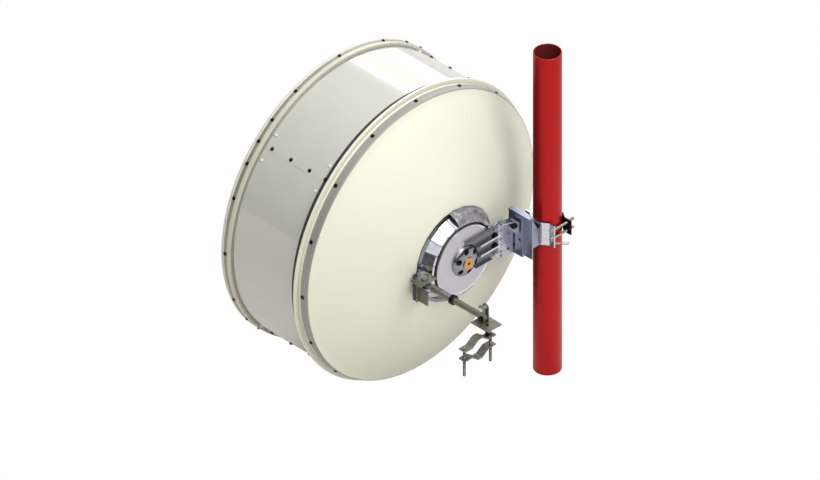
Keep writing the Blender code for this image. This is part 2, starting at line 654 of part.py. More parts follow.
def make_strut_end():
    """The rod's eye, held by a bolt in a clevis that stands on the end plate."""
    bore = EYE_BOLT_R + 0.0008
    turned("rod_eye", ring_profile(EYE_R, bore, EYE_HALF, -EYE_HALF), GALVANISED,
           along_x(STRUT_X, EYE_Y, STRUT_Z), steps=24)
    plate_low, plate_high = END_PLATE_Z
    plate = box("end_plate", (END_PLATE_X[0], END_PLATE_Y[0], plate_low),
                (END_PLATE_X[1], END_PLATE_Y[1], plate_high), GALVANISED)
    foot = plate_high - 0.003
    arc = [(CLEVIS_TOP_Z + CLEVIS_R * sin(a), -CLEVIS_R * cos(a)) for a in map(radians, range(0, 181, 20))]
    for side in (-1, 1):
        x = STRUT_X + side * (EYE_HALF + GAP + CLEVIS_T / 2)
        join_shape(plate, f"clevis_ear_{side}", [(foot, -CLEVIS_R)] + arc + [(foot, CLEVIS_R)], CLEVIS_T,
                   Matrix.Translation((x, EYE_Y, 0.0)) @ Matrix.Rotation(radians(-90), 4, "Y"))
    for name, z in (("clevis_low_hole", STRUT_Z), ("clevis_top_hole", CLEVIS_TOP_Z)):
        cut_round(plate, name, bore, 0.1, along_x(STRUT_X, EYE_Y, z), sides=16)
    cut_round(plate, "post_hole", EYE_BOLT_R, 0.03, Matrix.Translation((POST_X, V_Y, plate_low)), sides=16)
    ear_face = EYE_HALF + GAP + CLEVIS_T + GAP
    for name, z, mat in (("eye_bolt", STRUT_Z, DARK_BOLTS), ("clevis_bolt", CLEVIS_TOP_Z, BRIGHT_ZINC)):
        turned(name, bolt_profile(EYE_BOLT_R, 0.0115, 0.006, 2 * ear_face + 0.006, 2 * ear_face, 0.005), mat,
               along_x(STRUT_X + ear_face, EYE_Y, z), steps=16)


def make_strut_clamp():
    """Two saddles on two long bolts, hung from the end plate by a stud."""
    half = [(-V_REACH, 0.0), (-V_BEND, 0.0), (-V_FLAT, V_RISE)]
    path = half + [(-x, z) for x, z in half[::-1]]
    upper = flat_shape("strut_saddle_upper", strip_outline(path, V_T), V_DEPTH, GALVANISED,
                       upright(V_X, V_Y, V_UP_Z))
    lower = flat_shape("strut_saddle_lower", strip_outline([(x, -z) for x, z in path], -V_T), V_DEPTH,
                       GALVANISED, upright(V_X, V_Y, V_LOW_Z))
    head_z = V_UP_Z + V_T + GAP
    profile = bolt_profile(0.006, 0.009, 0.006, head_z - V_BOLT_TIP, head_z - V_LOW_Z + V_T + GAP, 0.008)
    for side, x in (("inner", V_X - V_BOLT), ("outer", V_X + V_BOLT)):
        for obj in (upper, lower):
            cut_round(obj, f"{obj.name}_hole_{side}", 0.0064, 0.2, Matrix.Translation((x, V_Y, V_LOW_Z)))
        turned("strut_clamp_bolt_" + side, profile, GALVANISED, Matrix.Translation((x, V_Y, head_z)),
               steps=12)
    cut_round(upper, "saddle_post_hole", 0.0064, 0.03, Matrix.Translation((POST_X, V_Y, V_UP_Z)))
    make_clamp_post()


def make_clamp_post():
    """The stud, flush with the end plate's top, with nuts under that plate and the upper saddle's flange."""
    plate_low, plate_high = END_PLATE_Z
    nut_r, neck_r, shank_r, end_r, nut_h, end_nut_h = 0.009, 0.0070, 0.0075, 0.0058, 0.006, 0.005
    under = plate_low - GAP
    flange_top, flange_low = V_UP_Z + V_T + GAP, V_UP_Z - GAP
    profile = [(0.0, plate_high), (neck_r, plate_high), (neck_r, under),
               (nut_r, under), (nut_r, under - nut_h), (shank_r, under - nut_h), (shank_r, flange_top),
               (end_r, flange_top), (end_r, flange_low), (nut_r - 0.0005, flange_low),
               (nut_r - 0.0005, flange_low - end_nut_h), (0.0, flange_low - end_nut_h)]
    turned("clamp_post", profile, DARK_BOLTS, Matrix.Translation((POST_X, V_Y, 0.0)), steps=16)


make_mast()
make_reflector()
make_drum()
make_radome()
make_hub_ring()
make_hub_plate()
make_feed()
make_arm()
make_arm_end_bracket()
make_tilt_bracket()
make_mast_clamp()
make_azimuth_screw()
make_strut_bracket()
make_strut()
make_strut_end()
make_strut_clamp()
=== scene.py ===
"""Looks of the shrouded microwave dish antenna: finishes, fasteners, threads, light and camera.

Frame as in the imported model: metres, +Z up the mast, the dish looks along -Y, the mast's foot is the
origin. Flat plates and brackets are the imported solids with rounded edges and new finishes; turned parts,
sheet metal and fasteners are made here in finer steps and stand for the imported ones.
"""
from math import cos, pi, radians, sin, sqrt

import bmesh
import bpy
from mathutils import Matrix, Vector


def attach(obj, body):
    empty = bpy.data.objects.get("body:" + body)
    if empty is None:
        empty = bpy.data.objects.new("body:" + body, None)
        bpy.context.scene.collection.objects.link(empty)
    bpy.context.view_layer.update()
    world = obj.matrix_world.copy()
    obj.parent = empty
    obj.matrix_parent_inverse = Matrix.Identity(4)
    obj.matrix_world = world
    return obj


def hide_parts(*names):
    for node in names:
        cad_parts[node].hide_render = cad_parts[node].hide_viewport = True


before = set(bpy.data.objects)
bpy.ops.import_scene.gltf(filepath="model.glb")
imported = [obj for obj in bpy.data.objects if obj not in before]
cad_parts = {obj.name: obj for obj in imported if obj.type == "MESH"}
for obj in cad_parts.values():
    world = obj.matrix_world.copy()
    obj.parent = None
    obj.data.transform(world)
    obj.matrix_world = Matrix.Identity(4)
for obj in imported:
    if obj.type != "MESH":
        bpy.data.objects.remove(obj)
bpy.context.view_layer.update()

# Dish axis and the planes across it, as in the part's source
AXIS_X, AXIS_Z = 0.397, 0.681
HUB_FACE = -0.060
FEED_FACE = -0.036
DISH_FLAT = -0.110
DISH_VERTEX = -0.1005
DISH_CORNER = -0.3035
DISH_FLANGE = -0.3533
RING_T = 0.010
FLANGE_BACK = -0.718
FLANGE_STEP = -0.7265
HOOP_BACK = -0.744
LIP_BACK = -0.760
FRONT_FACE = -0.774
GAP = 0.0003

# Radii of the drum and the hub
RIM_R = 0.626
REAR_RING_R = 0.6457
SHROUD_R = 0.620
SHROUD_T = 0.0025
FRONT_R = 0.6325
DRUM_INNER_R = 0.6075
HUB_PLATE_R = 0.152
HUB_NECK_R = 0.130
HUB_BORE_R = 0.040
HUB_RING_R = 0.207
HUB_FACETS = 24
BOSS_R = 0.068
BOSS_FLAT_R = 0.030
FEED_R = 0.027
FEED_DROP = 0.006
FEED_PORT_R = 0.006

# Mast, strut and clamps
PIPE_R = 0.05715
PIPE_WALL = 0.0045
PIPE_LENGTH = 1.51
STRUT_X, STRUT_Z = 0.6248, 0.6875
SWIVEL_Y = -0.055
TUBE_START, TUBE_END = -0.010, 0.1082
TUBE_R = 0.015
ROD_R = 0.013
EYE_Y = 0.2725
EYE_R = 0.0145
CLEVIS_R = 0.0165
CLEVIS_TOP_Z = 0.7325
EAR_FACE = 0.0136             # outer face of a clevis ear from the strut's axis
CLAMP_X, CLAMP_Y = 0.6868, 0.2995
CLAMP_UP_Z, CLAMP_LOW_Z = 0.618, 0.567
POST_X = 0.6333
END_PLATE_TOP, END_PLATE_LOW = 0.6685, 0.6625

FINE = 192                    # steps round the drum
ROUND = 48                    # steps round a bar or a bolt


def along_x(x, y, z):
    """A frame whose +Z is the world's +X."""
    return Matrix.Translation((x, y, z)) @ Matrix.Rotation(radians(90), 4, "Y")


def along_y(x, y, z):
    """A frame whose +Z is the world's +Y; its local X stays the world's X and its local Y points down."""
    return Matrix.Translation((x, y, z)) @ Matrix.Rotation(radians(-90), 4, "X")


def upright(x, y, z):
    return Matrix.Translation((x, y, z))


DISH = along_y(AXIS_X, 0.0, AXIS_Z)


def dish_back(radius):
    """Y of the reflector's back surface at a distance from the dish axis."""
    fall = (DISH_VERTEX - DISH_CORNER) / SHROUD_R ** 2
    return min(DISH_FLAT, DISH_VERTEX - fall * radius ** 2)


# ---------------------------------------------------------------- finishes

def linear(colour):
    """An sRGB hex colour as the linear values that a shader takes."""
    parts = [int(colour[i:i + 2], 16) / 255 for i in (1, 3, 5)]
    return tuple(c / 12.92 if c <= 0.04045 else ((c + 0.055) / 1.055) ** 2.4 for c in parts) + (1.0,)


def grey(tone):
    return (tone, tone, tone, 1.0)


def add(tree, kind, inputs, stops=None, **settings):
    """One node with its settings and its inputs, each a value or the socket that feeds it."""
    made = tree.nodes.new(kind)
    for key, value in settings.items():
        setattr(made, key, value)
    for key, value in inputs.items():
        if isinstance(value, bpy.types.NodeSocket):
            tree.links.new(value, made.inputs[key])
        else:
            made.inputs[key].default_value = value
    if stops:
        ramp = made.color_ramp
        while len(ramp.elements) < len(stops):
            ramp.elements.new(1.0)
        for element, (place, tone) in zip(ramp.elements, stops):
            element.position, element.color = place, tone
    return made


def new_finish(name, **sockets):
    made = bpy.data.materials.new(name)
    made.use_nodes = True
    tree = made.node_tree
    shader = tree.nodes["Principled BSDF"]
    for key, value in sockets.items():
        shader.inputs[key.replace("_", " ")].default_value = value
    place = add(tree, "ShaderNodeTexCoord", {}).outputs["Object"]
    return made, tree, shader, place


def mm(size):
    """Scale of a pattern whose cells are that many millimetres across."""
    return 1000.0 / size


def paint(name, tone, shade, roughness, peel_mm=2.5, peel=0.00004, coat=0.0, ior=1.5, speck=0.25, flake=0.0,
          bounce_shade=None):
    """Paint on metal: two near tones that drift over a hand's width, orange peel, and a little dust.
    A bounce-shade colour is what the paint shows to bounced light in place of its own: painted shade that makes the
    pieces beside it darker."""
    made, tree, shader, place = new_finish(name, IOR=ior, Coat_Weight=coat, Coat_Roughness=0.05,
                                             Metallic=flake)
    drift = add(tree, "ShaderNodeTexNoise", {"Vector": place, "Scale": mm(180), "Detail": 4.0, "Roughness": 0.55})
    dust = add(tree, "ShaderNodeTexNoise", {"Vector": place, "Scale": mm(9), "Detail": 6.0, "Roughness": 0.7})
    amount = add(tree, "ShaderNodeValToRGB", {"Fac": dust.outputs["Fac"]}, stops=((0.45, grey(0.0)), (0.75, grey(speck))))
    both = add(tree, "ShaderNodeMath", {0: drift.outputs["Fac"], 1: amount.outputs["Color"]}, operation="ADD")
    mixed = add(tree, "ShaderNodeMix", {0: both.outputs[0], 6: linear(tone), 7: linear(shade)},
                data_type="RGBA")
    # painted shade: to diffuse and glossy rays the paint shows the dark bounce-shade colour, so the pieces beside it
    # get less light off it
    if bounce_shade:
        path = add(tree, "ShaderNodeLightPath", {})
        bounced_ray = add(tree, "ShaderNodeMath", {0: path.outputs["Is Diffuse Ray"], 1: path.outputs["Is Glossy Ray"]},
                    operation="MAXIMUM")
        mixed = add(tree, "ShaderNodeMix", {0: bounced_ray.outputs[0], 6: mixed.outputs[2], 7: linear(bounce_shade)},
                    data_type="RGBA")
    rough = add(tree, "ShaderNodeMapRange", {"Value": dust.outputs["Fac"], "To Min": roughness - 0.05,
                                             "To Max": roughness + 0.08})
    skin = add(tree, "ShaderNodeTexNoise", {"Vector": place, "Scale": mm(peel_mm), "Detail": 2.0})
    bump = add(tree, "ShaderNodeBump", {"Height": skin.outputs["Fac"], "Strength": 0.5, "Distance": peel})
    tree.links.new(mixed.outputs[2], shader.inputs["Base Color"])
    tree.links.new(rough.outputs["Result"], shader.inputs["Roughness"])
    tree.links.new(bump.outputs["Normal"], shader.inputs["Normal"])
    return made


def metal(name, tone, shade, rough, spangle_mm=8.0, stretch=(1.0, 1.0, 1.0), relief=0.00003, metallic=1.0,
          contrast=1.0):
    """Bare or plated metal: cells of plating or rolled grain in two tones, each with its own gloss."""
    made, tree, shader, place = new_finish(name, Metallic=metallic)
    drawn = add(tree, "ShaderNodeMapping", {"Vector": place, "Scale": stretch})
    cells = add(tree, "ShaderNodeTexVoronoi", {"Vector": drawn.outputs["Vector"], "Scale": mm(spangle_mm)})
    cell = add(tree, "ShaderNodeRGBToBW", {"Color": cells.outputs["Color"]})
    stain = add(tree, "ShaderNodeTexNoise", {"Vector": drawn.outputs["Vector"], "Scale": mm(spangle_mm * 5),
                                             "Detail": 5.0, "Roughness": 0.6})
    mix = add(tree, "ShaderNodeMath", {0: cell.outputs[0], 1: stain.outputs["Fac"]}, operation="MULTIPLY")
    amount = add(tree, "ShaderNodeMath", {0: mix.outputs[0], 1: 1.8 * contrast}, operation="MULTIPLY",
                 use_clamp=True)
    mixed = add(tree, "ShaderNodeMix", {0: amount.outputs[0], 6: linear(tone), 7: linear(shade)},
                data_type="RGBA")
    gloss = add(tree, "ShaderNodeMapRange", {"Value": mix.outputs[0], "From Max": 0.6, "To Min": rough[0],
                                             "To Max": rough[1]})
    grain = add(tree, "ShaderNodeTexNoise", {"Vector": drawn.outputs["Vector"], "Scale": mm(1.6), "Detail": 3.0})
    bump = add(tree, "ShaderNodeBump", {"Height": grain.outputs["Fac"], "Strength": 0.4, "Distance": relief})
    tree.links.new(mixed.outputs[2], shader.inputs["Base Color"])
    tree.links.new(gloss.outputs["Result"], shader.inputs["Roughness"])
    tree.links.new(bump.outputs["Normal"], shader.inputs["Normal"])
    return made


# Red lacquer with fine metal flake on the steel pipe: deep red, darker where it turns from the light; to bounced light
# it shows near black, painted shade on the dish beside it
RED_LACQUER = paint("red_flake_lacquer_on_steel", "#C31A1A", "#B41414", 0.36, flake=0.65, speck=0.1,
                    bounce_shade="#301010")
# Dark red inside the pipe: painted shade in the bore, dull and dark
PIPE_BORE_SHADE = paint("dark_red_painted_shade_in_pipe", "#6A0302", "#560202", 0.7, peel_mm=1.5, speck=0.3)
# Cream polyester powder coat on spun aluminium: even, warm, slightly satin; to bounced light it shows mid grey,
# painted shade on the mast and the pieces beside the dish
CREAM_POWDER = paint("cream_powder_coat_on_aluminium", "#F2F1E0", "#EEECDA", 0.45, speck=0.12, bounce_shade="#5C5C58")
# The same coat on the rolled rim, a shade paler than on the dish: painted light
CREAM_RIM = paint("cream_powder_coat_on_rim", "#F8F5E6", "#EFECDA", 0.35, coat=0.3, speck=0.15)
# The coat on the front flange: thinner and greyer, the metal shows through a little
CREAM_FLANGE = paint("thin_powder_coat_on_flange", "#DCDACB", "#D0CEBF", 0.4, coat=0.2)
# Bare brushed aluminium of the band round the dish: mid grey, drawn round the rim
BRUSHED_BAND = metal("brushed_aluminium_rim_band", "#A9A7A1", "#94928D", (0.4, 0.5), 3.0, (1.0, 0.3, 1.0),
                     metallic=0.3, contrast=0.6)
# Grey enamel on rolled aluminium sheet: pale, satin, picks up wide soft reflections
GREY_ENAMEL = paint("pale_grey_enamel_on_sheet", "#CFD0C7", "#C8C8C0", 0.2, peel_mm=6.0, peel=0.00001, coat=1.0,
                    speck=0.12)
# Glass-fibre radome skin: matt, faintly yellow, with the weave just showing
GLASS_FIBRE = paint("glass_fibre_radome_gelcoat", "#E6E4DA", "#DAD7CB", 0.55, peel_mm=5.0, peel=0.0001)
# Rolled aluminium: grey, drawn along the hoop
ROLLED_ALUMINIUM = metal("rolled_aluminium_hoop", "#A9A698", "#8F8C80", (0.4, 0.5), 3.0, (1.0, 0.3, 1.0),
                         metallic=0.4, contrast=0.8)
# Bright zinc plate: near mirror, cold, with faint cloudy patches
BRIGHT_ZINC = metal("bright_zinc_plate", "#E2E3EA", "#C9CAD4", (0.1, 0.2), 12.0, contrast=0.6, relief=0.00001)
# Satin zinc on the hub disc: even lavender grey
SATIN_ZINC = metal("satin_zinc_hub_disc", "#D2D0D8", "#C6C4CD", (0.38, 0.5), 5.0, contrast=0.5)
# Hot-dip galvanised channel: mid grey with faint spangle
GALVANISED_CHANNEL = metal("hot_dip_galvanised_channel", "#8E9294", "#7C8082", (0.38, 0.5), 7.0, contrast=0.6)
# Blue-passivated zinc on the brackets: blue-grey, softly mirrored
BLUE_ZINC = metal("blue_passivated_zinc_bracket", "#A9B0C1", "#9299AC", (0.28, 0.42), 6.0, contrast=0.6)
# Bright zinc on the pressed bracket: paler than the tilt bracket, with soft patches of gloss
BRACKET_ZINC = metal("bright_zinc_bracket", "#C6CAD6", "#B2B7C5", (0.2, 0.32), 12.0, contrast=0.6)
# Zinc on a rough casting: a mottle of pale and dark grey that is a painted reflection on this sector of the ring, with
# soft highlights
LOBE_MOTTLE_REFLECTION = metal("zinc_casting_with_painted_reflection", "#C9C5CB", "#7F7C84", (0.3, 0.5), 16.0, metallic=0.6, relief=0.0004)
# Dull zinc on the feed boss: darker than the ring, still with a sharp highlight
BOSS_ZINC = metal("dull_zinc_feed_boss", "#9DA0A8", "#83868F", (0.12, 0.22), 8.0, contrast=0.6, relief=0.00001)
# Weathered galvanising on the strut: dull, greenish grey
WEATHERED_ZINC = metal("weathered_galvanised_strut", "#9A998E", "#77766C", (0.4, 0.55), 6.0, metallic=0.85)
# Black oxide on bolts: near black with an oily sheen
BLACK_OXIDE = metal("black_oxide_bolt_steel", "#1C1C1D", "#0E0E0F", (0.3, 0.45), 3.0, metallic=0.7)
# Dark weathered steel of the outer saddle
DARK_STEEL = metal("dark_weathered_saddle_steel", "#2E2C2A", "#1B1917", (0.4, 0.6), 6.0, metallic=0.8)
# Bright zinc on threaded rod: pale with yellow passivation in the roots
ROD_ZINC = metal("zinc_plated_threaded_rod", "#DCDACF", "#BDB8A4", (0.22, 0.35), 4.0)
# Machined brass: warm, turned finish
TURNED_BRASS = metal("machined_brass_flange", "#D6AC76", "#BD8F58", (0.3, 0.42), 2.0, contrast=0.6)
# Dark grey band on the shroud beside the rear ring: painted shade, dead matt
SHADE_BAND_GREY = paint("dark_grey_painted_shade_band", "#3A3A38", "#454542", 0.7, peel_mm=1.5, ior=1.45)


# ---------------------------------------------------------------- meshes

def lathe(bm, profile, steps, at, closed=True, start=0.0, sweep=2 * pi):
    """An outline of (radius, height) turned about the frame's Z axis, right round or through a sweep."""
    full = sweep >= 2 * pi
    count = steps if full else steps + 1
    angles = [start + sweep * i / steps for i in range(count)]
    rings = []
    for radius, height in profile:
        if radius == 0.0:
            rings.append([bm.verts.new(at @ Vector((0.0, 0.0, height)))])
        else:
            rings.append([bm.verts.new(at @ Vector((radius * cos(a), radius * sin(a), height)))
                          for a in angles])
    pairs = list(zip(rings, rings[1:]))
    if closed and len(rings[0]) > 1:
        pairs.append((rings[-1], rings[0]))
    for one, other in pairs:
        for i in range(steps):
            j = (i + 1) % count
            corners = [one[i % len(one)], one[j % len(one)], other[j % len(other)], other[i % len(other)]]
            unique = list(dict.fromkeys(corners))
            if len(unique) > 2:
                bm.faces.new(unique)
    if not full and closed:
        bm.faces.new([ring[0] for ring in rings])
        bm.faces.new([ring[-1] for ring in rings][::-1])


def prism(bm, outline, low, high, at):
    """A flat outline between two heights of the frame."""
    lower = [bm.verts.new(at @ Vector((x, y, low))) for x, y in outline]
    upper = [bm.verts.new(at @ Vector((x, y, high))) for x, y in outline]
    bm.faces.new(lower[::-1])
    bm.faces.new(upper)
    for i in range(len(outline)):
        j = (i + 1) % len(outline)
        bm.faces.new((lower[i], lower[j], upper[j], upper[i]))


def rounded(profile, size, turns=3):
    """The closed outline with each corner rounded off by an arc-like curve of that size."""
    result = []
    count = len(profile)
    for i, corner in enumerate(profile):
        here = Vector(corner)
        before, after = Vector(profile[i - 1]), Vector(profile[(i + 1) % count])
        reach_in = min(size, (before - here).length * 0.45)
        reach_out = min(size, (after - here).length * 0.45)
        first = here + (before - here).normalized() * reach_in
        last = here + (after - here).normalized() * reach_out
        for k in range(turns + 1):
            t = k / turns
            point = first * (1 - t) ** 2 + here * 2 * t * (1 - t) + last * t ** 2
            result.append((point.x, point.y))
    return result


def piece(name, bm, finish, body, slot, *nodes, angle=32):
    """Turn the mesh into a named piece that rides on its body and stands for the CAD nodes given."""
    bmesh.ops.recalc_face_normals(bm, faces=bm.faces)
    mesh = bpy.data.meshes.new(name)
    bm.to_mesh(mesh)
    bm.free()
    mesh.materials.append(finish)
    mesh.shade_smooth()
    mesh.set_sharp_from_angle(angle=radians(angle))
    made = bpy.data.objects.new(name, mesh)
    bpy.context.scene.collection.objects.link(made)
    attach(made, body)
    if nodes:
        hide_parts(*nodes)
    return made


def turned(name, profile, finish, body, slot, at, *nodes, steps=ROUND, edge=0.0008):
    """A turned piece with softened edges."""
    bm = bmesh.new()
    on_axis = profile[0][0] == 0.0
    outline = profile if on_axis or edge == 0.0 else rounded(profile, edge)
    lathe(bm, outline, steps, at)
    return piece(name, bm, finish, body, slot, *nodes)


def hexagon_block(bm, radius, low, high, at):
    """A hexagon nut or head between two heights, its corners chamfered as by a cone."""
    chamfer = 0.12 * radius
    lathe(bm, [(0.0, high), (radius * 0.84, high), (radius, high - chamfer), (radius, low + chamfer),
               (radius * 0.84, low), (0.0, low)], 6, at)


def washer(bm, radius, low, high, at):
    lathe(bm, [(0.0, high), (radius - 0.0004, high), (radius, high - 0.0004), (radius, low), (0.0, low)],
          24, at)


def thread(bm, radius, low, high, at, pitch=0.0015, steps=20):
    """A threaded length: rings at the thread's pitch, with chamfered ends."""
    depth = 0.6 * pitch
    outline = [(0.0, high), (radius - depth, high)]
    turns = int((high - low - 2 * depth) / pitch)
    for i in range(turns):
        z = high - depth - i * pitch
        outline += [(radius, z), (radius - depth, z - pitch / 2)]
    outline += [(radius - depth, low), (0.0, low)]
    lathe(bm, outline, steps, at)


def bolt(name, node, body, finish, slot, at, shank_r, head_r, head_h, tip, nuts=(), plate=0.0015):
    """A hexagon bolt: head over a washer, threaded shank to its tip, and nuts with washers under them."""
    bm = bmesh.new()
    washer(bm, head_r * 1.02, 0.0, plate, at)
    hexagon_block(bm, head_r * 0.98, plate, head_h, at)
    thread(bm, shank_r, tip, 0.0, at)
    for top, low in nuts:
        washer(bm, head_r * 1.02, top - plate, top, at)
        hexagon_block(bm, head_r * 0.98, low, top - plate, at)
    return piece(name, bm, finish, body, slot, *([node] if node else []), angle=25)


def soften(node, finish, width=0.0007):
    """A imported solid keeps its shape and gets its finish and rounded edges."""
    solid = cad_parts[node]
    solid.material_slots[0].material = finish
    weld = solid.modifiers.new("join corners", "WELD")
    weld.merge_threshold = 0.00001
    if width:
        edge = solid.modifiers.new("rounded edges", "BEVEL")
        edge.width = width
        edge.segments = 2
        edge.limit_method = "ANGLE"
        edge.angle_limit = radians(35)


# ---------------------------------------------------------------- mast

def make_mast():
    """The painted pipe: rounded at both ends, dull dark red inside as painted shade in the bore."""
    inner = PIPE_R - PIPE_WALL
    pipe = turned("mast_pipe_painted", [(PIPE_R, PIPE_LENGTH), (PIPE_R, 0.0), (inner, 0.0), (inner, PIPE_LENGTH)],
                  RED_LACQUER, "mast", "red_paint", upright(0, 0, 0), "mast_pipe", steps=96, edge=0.0018)
    # the inside faces get the dark red: painted shade in the bore
    pipe.data.materials.append(PIPE_BORE_SHADE)
    for face in pipe.data.polygons:
        if face.center.xy.length < inner + 0.0002:
            face.material_index = 1


make_mast()
soften("mast_foot_plate", RED_LACQUER, 0.0)


# ---------------------------------------------------------------- dish and drum

def make_bowl():
    """The spun dish with a flat middle, a rolled corner and a straight rim band."""
    sheet = 0.004
    corner = 0.010
    edge_r = RIM_R - corner
    rings = 22
    first_r = HUB_NECK_R + 0.005
    radii = [first_r + (edge_r - first_r) * i / rings for i in range(rings + 1)]
    back = [(HUB_BORE_R, DISH_FLAT)] + [(r, dish_back(r)) for r in radii]
    back += [(edge_r + corner * sin(a), dish_back(edge_r) - corner * (1 - cos(a)))
             for a in (radians(d) for d in (20, 40, 60, 80, 90))]
    back.append((RIM_R, DISH_FLANGE + GAP))
    front = [(RIM_R - sheet, DISH_FLANGE + GAP), (RIM_R - sheet, dish_back(edge_r) - corner)]
    front += [(r, dish_back(r) - sheet * 1.1) for r in radii[-2::-1]] + [(HUB_BORE_R, DISH_FLAT - sheet)]
    turned("dish_bowl", back + front, CREAM_POWDER, "dish", "cream_paint", DISH, "reflector", steps=FINE,
           edge=0.0)
    band_front = DISH_FLANGE + 0.012
    turns = [radians(d) for d in (45, 60, 75, 90)]
    outside, inside = ([(edge_r + (corner + off) * sin(a), dish_back(edge_r) - corner + (corner + off) * cos(a))
                        for a in turns] for off in (0.0008, GAP / 2))
    turned("rim_band", outside + [(RIM_R + 0.0008, band_front), (RIM_R + GAP / 2, band_front)] + inside[::-1],
           BRUSHED_BAND, "dish", "hoop_aluminium", DISH, steps=FINE, edge=0.0)


def make_drum():
    """Rear ring, shroud sheets with their lap seams, front flange, hoop and radome."""
    shroud_back = DISH_FLANGE - RING_T - GAP
    turned("rear_rim_ring", [(REAR_RING_R, DISH_FLANGE), (REAR_RING_R, DISH_FLANGE - RING_T),
                             (DRUM_INNER_R, DISH_FLANGE - RING_T), (DRUM_INNER_R, DISH_FLANGE)],
           CREAM_RIM, "dish", "cream_paint", DISH, "rear_ring", steps=FINE, edge=0.0015)
    # A thin dark band on the shroud beside the rear ring: painted shade where the ring shades the sheet
    shade_band_back = shroud_back - GAP
    turned("rear_shade_band", [(SHROUD_R + 0.0012, shade_band_back), (SHROUD_R + 0.0012, shade_band_back - 0.0305),
                         (SHROUD_R + GAP / 2, shade_band_back - 0.0315), (SHROUD_R + GAP / 2, shade_band_back)], SHADE_BAND_GREY, "dish",
           "dark_bolts", DISH, steps=FINE, edge=0.0)
    sleeve_r = SHROUD_R + 0.004
    turned("front_flange_ring",
           [(FRONT_R, FLANGE_STEP), (FRONT_R, HOOP_BACK + GAP), (DRUM_INNER_R, HOOP_BACK + GAP),
            (DRUM_INNER_R, FLANGE_STEP)], CREAM_FLANGE, "dish", "shroud_paint", DISH, "front_flange", steps=FINE,
           edge=0.0012)
    turned("flange_sleeve", [(sleeve_r, FLANGE_BACK), (sleeve_r, FLANGE_STEP + GAP), (DRUM_INNER_R, FLANGE_STEP + GAP),
                             (DRUM_INNER_R, FLANGE_BACK)], BRUSHED_BAND, "dish", "shroud_paint", DISH, steps=FINE,
           edge=0.0008)
    hoop_r = FRONT_R - 0.001
    turned("radome_hoop_band", [(hoop_r, HOOP_BACK), (hoop_r, LIP_BACK + GAP),
                                (DRUM_INNER_R, LIP_BACK + GAP), (DRUM_INNER_R, HOOP_BACK)],
           ROLLED_ALUMINIUM, "dish", "hoop_aluminium", DISH, "radome_hoop", steps=FINE, edge=0.0012)
    quarter = pi / 2
    slit = GAP / SHROUD_R
    skin = [(SHROUD_R, shroud_back), (SHROUD_R, FLANGE_BACK + GAP), (SHROUD_R - SHROUD_T, FLANGE_BACK + GAP),
            (SHROUD_R - SHROUD_T, shroud_back)]
    for i, side in enumerate(("outer", "bottom", "mast", "top")):
        bm = bmesh.new()
        lathe(bm, skin, FINE // 4, DISH, start=(i - 0.5) * quarter + slit / 2, sweep=quarter - slit)
        piece("shroud_sheet_" + side, bm, GREY_ENAMEL, "dish", "shroud_paint", "shroud_panel_" + side)
        make_seam(i, side, (i - 0.5) * quarter, shroud_back)
    make_radome()


def make_seam(index, side, angle, back):
    """A lap strip over the joint between two shroud sheets, with its four rivets."""
    half = 0.013 / SHROUD_R
    proud = 0.0008
    bm = bmesh.new()
    strip = [(SHROUD_R + proud, back - 0.036), (SHROUD_R + proud, FLANGE_BACK + 0.002),
             (SHROUD_R + GAP / 2, FLANGE_BACK + 0.002), (SHROUD_R + GAP / 2, back - 0.036)]
    lathe(bm, strip, 8, DISH, start=angle - half, sweep=2 * half)
    piece(f"shroud_seam_{side}", bm, GREY_ENAMEL, "dish", "shroud_paint")
    bm = bmesh.new()
    for y in (-0.391, -0.478, -0.581, -0.685):
        at = radial(angle, SHROUD_R + proud, y)
        washer(bm, 0.0082, 0.0, 0.0012, at)
        dome_head(bm, at @ Matrix.Translation((0.0, 0.0, 0.0012)), 0.0072, 0.0048)
    piece(f"seam_rivets_{side}", bm, BLACK_OXIDE, "dish", "dark_bolts")
    bm = bmesh.new()
    for turn in (-radians(5.2), radians(5.2)):
        for y in (back - 0.044, FLANGE_BACK + 0.014):
            clip(bm, radial(angle + turn, SHROUD_R, y))
    piece(f"shroud_clips_{side}", bm, CREAM_RIM, "dish", "shroud_paint")


def clip(bm, at):
    """A small pressed clip, 14 by 9 mm, that stands 5 mm off the sheet."""
    side = [(-0.007, GAP), (0.007, GAP), (0.007, 0.002), (0.003, 0.005), (-0.003, 0.005), (-0.007, 0.002)]
    prism(bm, rounded(side, 0.0008), -0.0045, 0.0045, at @ Matrix.Rotation(radians(90), 4, "X"))


def radial(angle, radius, y):
    """A frame on the drum whose +Z points away from the dish axis."""
    turn = DISH @ Matrix.Rotation(angle, 4, "Z") @ Matrix.Translation((radius, 0.0, y))
    return turn @ Matrix.Rotation(radians(90), 4, "Y")


def dome_head(bm, at, radius, height):
    """A round rivet or screw head."""
    arc = [(radius * cos(a), height * sin(a)) for a in (radians(d) for d in (75, 55, 35, 15, 0))]
    lathe(bm, [(0.0, height)] + arc + [(radius, -0.0003), (0.0, -0.0003)], 16, at)


def make_radome():
    """The front cover: slightly crowned, with a rounded rim."""
    sheet, crown, edge_r, rounding = 0.004, 0.030, 0.600, 0.003
    rings = 12
    face = [(edge_r * i / rings, FRONT_FACE - crown * (1 - (i / rings) ** 2)) for i in range(rings + 1)]
    inside = [(r, y + sheet) for r, y in face]
    rim = [(edge_r, LIP_BACK), (FRONT_R - rounding, LIP_BACK)]
    rim += [(FRONT_R - rounding + rounding * sin(a), LIP_BACK - rounding + rounding * cos(a))
            for a in (radians(30), radians(60), radians(90))]
    rim += [(FRONT_R - rounding + rounding * cos(a), FRONT_FACE + rounding - rounding * sin(a))
            for a in (0.0, radians(30), radians(60), radians(90))]
    bm = bmesh.new()
    lathe(bm, inside + rim + face[::-1], FINE, DISH)
    piece("radome_cover", bm, GLASS_FIBRE, "dish", "radome_skin", "radome")


